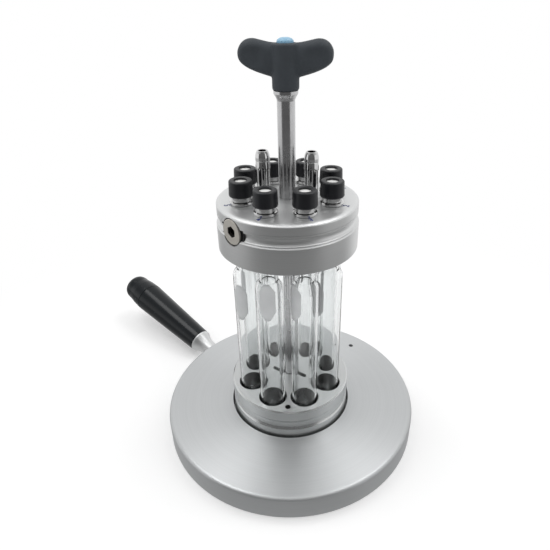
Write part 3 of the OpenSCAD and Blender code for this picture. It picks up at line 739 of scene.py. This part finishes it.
class STATION_OT_glass(bpy.types.Operator):
    """Gives the tubes their glass and fires a marking patch onto each"""

    bl_idname = "station.glass"
    bl_label = "Tubes"

    # Bearing and foot height in mm of each tube's patch; every tube was screwed in by hand, so they
    # differ.
    patches = (
        (-158, 94), (-152, 93), (-141, 100.5), (-96, 101.5),
        (-121, 91.5), (-150, 92), (-165, 96), (-150, 97),
    )

    def execute(self, context):
        colours, sizes, _ = values()
        dress(borosilicate_glass("borosilicate_glass", colours.glass), *numbered("tube"))
        # Clear walls let the lamps through to the block and the wells.
        for name in numbered("tube"):
            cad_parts[name].visible_shadow = False
        enamel = moulding(
            "fired_marking_enamel",
            colours.patch,
            roughness=0.75,
            grain=0.25,
            relief=0.01,
            fade=0.05,
        )
        for n, (bearing, foot) in zip(PLACES, self.patches):
            self.make_patch(sizes, enamel, n, math.radians(bearing), foot * MM)
        return {"FINISHED"}

    def make_patch(self, sizes, enamel, n, bearing, foot):
        """A thin octagon wrapped on the tube. Row v runs up the patch, its half width is the full
        one less what the cut corners take near both ends, and column u spreads that width as an arc
        on the tube's radius."""
        lowest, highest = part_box(f"tube_{n}")
        middle = (lowest + highest) / 2
        gap = 0.015 * MM  # keeps the patch clear of the glass
        radius = (highest.x - lowest.x) / 2 + gap
        slope, height = sizes.patch_slope, sizes.patch_height
        up = np.array([0, slope / 2, slope, height / 2, height - slope, height - slope / 2, height])
        left = np.clip(1 - np.minimum(up, height - up) / slope, 0, 1)
        half = sizes.patch_width / 2 - sizes.patch_corner * left
        across = np.linspace(-1, 1, 25)
        angle = bearing + half[:, None] * across / radius
        x = middle.x + radius * np.cos(angle)
        y = middle.y + radius * np.sin(angle)
        points = np.stack([x, y, foot + up[:, None] + 0 * across], axis=-1)
        index = np.arange(angle.size).reshape(angle.shape)
        mesh = bpy.data.meshes.new(f"marking_patch_{n}")
        mesh.from_pydata(points.reshape(-1, 3).tolist(), [], quads(index[:, :-1], index[:, 1:]))
        patch = keep(mesh, f"marking_patch_{n}", "head", enamel)
        wall = patch.modifiers.new("wall", "SOLIDIFY")
        wall.thickness = 0.04 * MM
        wall.offset = 1


class STATION_OT_caps(bpy.types.Operator):
    """Gives the screw caps, septa, seals and bush their finishes"""

    bl_idname = "station.caps"
    bl_label = "Caps and seals"

    def execute(self, context):
        colours = values()[0]
        phenolic = moulding(
            "moulded_phenolic", colours.cap, roughness=0.42, grain=0.35, relief=0.012
        )
        dress(phenolic, *numbered("cap"))
        silicone = moulding(
            "silicone_rubber", colours.septum, roughness=0.55, grain=0.4, relief=0.006, fade=0.02
        )
        dress(silicone, *numbered("septum"))
        nitrile = moulding("nitrile_rubber", colours.rubber, roughness=0.5, grain=0.3, relief=0.01)
        dress(nitrile, "jacket_seals", "manifold_seals", "tube_seals", "plug_seal")
        ptfe = moulding(
            "turned_ptfe", colours.bush, roughness=0.5, grain=0.4, relief=0.005, fade=0.03, ior=1.35
        )
        dress(ptfe, "shaft_bush")
        return {"FINISHED"}


class STATION_OT_tee_handle(bpy.types.Operator):
    """Moulds the T handle as one smooth body and gives it and its cap their plastics"""

    bl_idname = "station.tee_handle"
    bl_label = "T handle"

    # Height of the arm's top and bottom edge over its distance from the middle, in mm above the
    # handle's foot.
    reach = (0, 4, 7.3, 10.2, 13.2, 16.5, 18.6, 20.4, 21.9, 22.9, 23.5, 23.75)
    top = (21.75, 21.8, 22.0, 22.5, 23.15, 23.7, 23.45, 22.7, 21.45, 20.0, 18.5, 16.9)
    bottom = (5.6, 5.75, 6.25, 7.05, 7.95, 9.15, 10.05, 11.05, 12.2, 13.35, 14.9, 16.9)
    half_thickness = (4.2, 4.3, 4.5, 4.9, 5.4, 5.8, 5.6, 5.1, 4.2, 3.2, 2.2, 0)
    # The hub's radius over its height, in mm.
    hub_radii = (6.1, 6.55, 6.8, 6.85, 6.85, 6.85, 6.6, 6.1, 5.2)
    hub_heights = (0, 0.12, 0.5, 1.0, 10, 20.4, 21.25, 21.6, 21.75)

    def execute(self, context):
        colours, sizes, _ = values()
        nylon = moulding(
            "glass_filled_nylon",
            colours.tee,
            roughness=0.6,
            grain=0.3,
            relief=0.012,
            fade=0.08,
            ior=1.36,
        )
        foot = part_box("tee_handle")[0].z
        points, faces = self.arms()
        radii, heights = np.array(self.hub_radii) * MM, np.array(self.hub_heights) * MM
        hub = turned_skin(radii, heights, len(points))
        rough = as_object(np.concatenate([points, hub[0]]), faces + hub[1], "tee_rough")
        cutter = as_object(*self.bore(), "tee_bore")
        blend = rough.modifiers.new("blend", "REMESH")
        blend.mode = "VOXEL"
        blend.voxel_size = sizes.tee_voxel
        fillets = rough.modifiers.new("fillets", "SMOOTH")
        fillets.factor = 0.5
        fillets.iterations = 30
        bore = rough.modifiers.new("bore", "BOOLEAN")
        bore.operation = "DIFFERENCE"
        bore.object = cutter
        bore.solver = "EXACT"
        context.view_layer.update()
        moulded = rough.evaluated_get(context.evaluated_depsgraph_get())
        done = bpy.data.meshes.new_from_object(moulded)
        done.name = "tee_moulding"
        done.transform(Matrix.Translation((0, 0, foot)) @ Matrix.Rotation(sizes.tee_turn, 4, "Z"))
        for helper in (rough, cutter):
            bpy.data.objects.remove(helper)
        piece = keep(done, "tee_moulding", "lock", nylon)
        done.set_sharp_from_angle(angle=math.radians(40))
        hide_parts("tee_handle")
        pale = moulding(
            "pale_blue_moulding",
            colours.tee_cap,
            roughness=0.35,
            grain=0.4,
            relief=0.006,
            fade=0.05,
        )
        dress(pale, "tee_cap")
        return {"FINISHED"}

    def arms(self):
        """A loft along x: the section at x is a superellipse of exponent 2.3 between the top and
        bottom edges. A shallow dish is pressed into both faces of each lobe, as deep as 1.4 mm
        exp(-((|x| - 15.8)/4.6)^4 - ((z - 15.2)/3.9)^4), which has a flat floor and steep sides."""
        run = np.sin(np.linspace(-np.pi / 2, np.pi / 2, 161)[1:-1])
        x = (run * self.reach[-1])[:, None]
        out = np.abs(x)
        edges = (self.top, self.bottom, self.half_thickness)
        top, bottom, half = (smooth_curve(out, self.reach, edge) for edge in edges)
        angle = np.linspace(0, 2 * np.pi, AROUND, endpoint=False)
        c, s = np.cos(angle), np.sin(angle)
        power = 2 / 2.3
        z = (top + bottom) / 2 + (top - bottom) / 2 * np.sign(s) * np.abs(s) ** power
        y = half * np.sign(c) * np.abs(c) ** power
        dish = 1.4 * np.exp(-(((out - 15.8) / 4.6) ** 4) - ((z - 15.2) / 3.9) ** 4)
        y = y - np.sign(y) * np.minimum(dish, np.abs(y))
        rings = np.stack([x + 0 * z, y, z], axis=-1) * MM
        tip, level = self.reach[-1] * MM, self.top[-1] * MM
        return skin(rings, (-tip, 0, level), (tip, 0, level))

    def bore(self):
        """The stepped hole for the insert, with 0.05 mm of room, and for the cap, as a solid turned
        about z."""
        lowest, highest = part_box("tee_insert")
        wide = (highest.x - lowest.x) / 2 + 0.05 * MM
        narrow = 4.25 * MM
        shelf = 15 * MM
        past = self.hub_heights[-1] * MM + 3 * MM
        return turned_skin((wide, wide, narrow, narrow), (-1 * MM, shelf, shelf, past))


class STATION_OT_grip(bpy.types.Operator):
    """Gives the base handle's grip and end cap their plastic"""

    bl_idname = "station.grip"
    bl_label = "Base handle"

    def execute(self, context):
        colours = values()[0]
        plastic = moulding(
            "moulded_grip_plastic", colours.grip, roughness=0.2, grain=0.4, relief=0.001, ior=1.36
        )
        dress(plastic, "handle_grip", "handle_end_cap")
        return {"FINISHED"}


class STATION_OT_numbers(bpy.types.Operator):
    """Prints the port numbers on the head's top"""

    bl_idname = "station.numbers"
    bl_label = "Port numbers"

    # A figure's height over the font's size.
    figure_share = 0.7

    def execute(self, context):
        colours, sizes, _ = values()
        ink = moulding(
            "pad_printed_ink", colours.number, roughness=0.5, grain=0.3, relief=0.004, fade=0.1
        )
        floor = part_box("head_cover")[1].z
        for n in PLACES:
            bearing = sizes.port_turn - 2 * math.pi / len(PLACES) * (n - 1)
            words = bpy.data.curves.new(f"port_number_{n}", "FONT")
            words.body = str(n)
            words.align_x = words.align_y = "CENTER"
            words.size = sizes.number_height / self.figure_share
            words.extrude = 0.02 * MM
            words.offset = 0.13 * MM
            line = bpy.data.objects.new(f"port_number_{n}", words)
            context.scene.collection.objects.link(line)
            context.view_layer.update()
            printed = line.evaluated_get(context.evaluated_depsgraph_get())
            mesh = bpy.data.meshes.new_from_object(printed)
            bpy.data.objects.remove(line)
            place = Vector((math.cos(bearing), math.sin(bearing), 0)) * sizes.number_ring
            place.z = floor + words.extrude
            upright = Matrix.Rotation(bearing + math.pi / 2, 4, "Z")
            mesh.transform(Matrix.Translation(place) @ upright)
            keep(mesh, f"port_number_{n}", "head", ink, smooth=False)
        return {"FINISHED"}


class STATION_PT_panel(bpy.types.Panel):
    """Lists the station's operators and values"""

    bl_label = "Reaction station"
    bl_idname = "STATION_PT_panel"
    bl_space_type = "VIEW_3D"
    bl_region_type = "UI"
    bl_category = "Station"

    def draw(self, context):
        for operator in OPERATORS:
            self.layout.operator(operator.bl_idname)
        for group in values():
            for field in group.__annotations__:
                self.layout.prop(group, field)


GROUPS = {
    "station_colours": StationColours,
    "station_sizes": StationSizes,
    "station_studio": StudioValues,
}
OPERATORS = (
    STATION_OT_stage,
    STATION_OT_aluminium,
    STATION_OT_steel,
    STATION_OT_plug,
    STATION_OT_glass,
    STATION_OT_caps,
    STATION_OT_tee_handle,
    STATION_OT_grip,
    STATION_OT_numbers,
)


def register():
    for cls in (*GROUPS.values(), *OPERATORS, STATION_PT_panel):
        bpy.utils.register_class(cls)
    for name, group in GROUPS.items():
        setattr(bpy.types.Scene, name, PointerProperty(type=group))


def unregister():
    for name in GROUPS:
        delattr(bpy.types.Scene, name)
    for cls in reversed((*GROUPS.values(), *OPERATORS, STATION_PT_panel)):
        bpy.utils.unregister_class(cls)


def main():
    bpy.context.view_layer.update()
    register()
    for operator in OPERATORS:
        group, action = operator.bl_idname.split(".")
        getattr(getattr(bpy.ops, group), action)()


if __name__ == "__main__":
    main()
